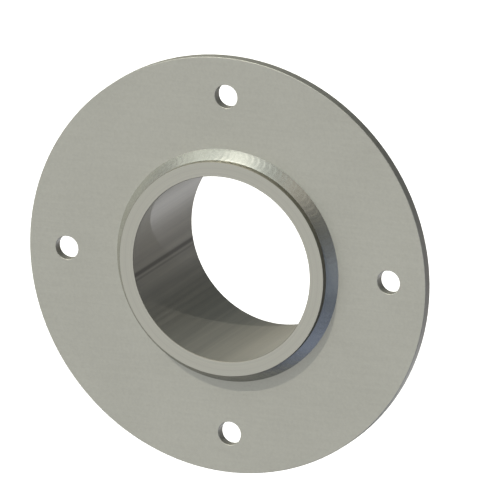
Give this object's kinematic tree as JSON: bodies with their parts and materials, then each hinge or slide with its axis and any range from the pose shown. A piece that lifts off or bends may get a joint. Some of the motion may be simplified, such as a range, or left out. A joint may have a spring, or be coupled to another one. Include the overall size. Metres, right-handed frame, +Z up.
{
  "type": "cable transit flange",
  "caption": "Flat round steel flange with a length of tube welded through its centre, bolted to a wall so that a cable with a round seal can pass through the tube.",
  "frame": {"origin": "on the tube's axis, in the plane of the plate's back face, which lies on the wall", "axes": "+Y along the tube's axis, from the front towards the long back end of the tube; +Z up, through one of the bolt holes; +X to the right when the front is looked at"},
  "size_m": [0.16, 0.055, 0.16],
  "materials": {
    "plate_steel": "satin",
    "tube_steel": "satin",
    "weld_metal": "satin"
  },
  "bodies": {
    "root": {"flange_plate": "plate_steel", "sleeve": "tube_steel", "fillet_weld": "weld_metal"}
  },
  "joints": []
}
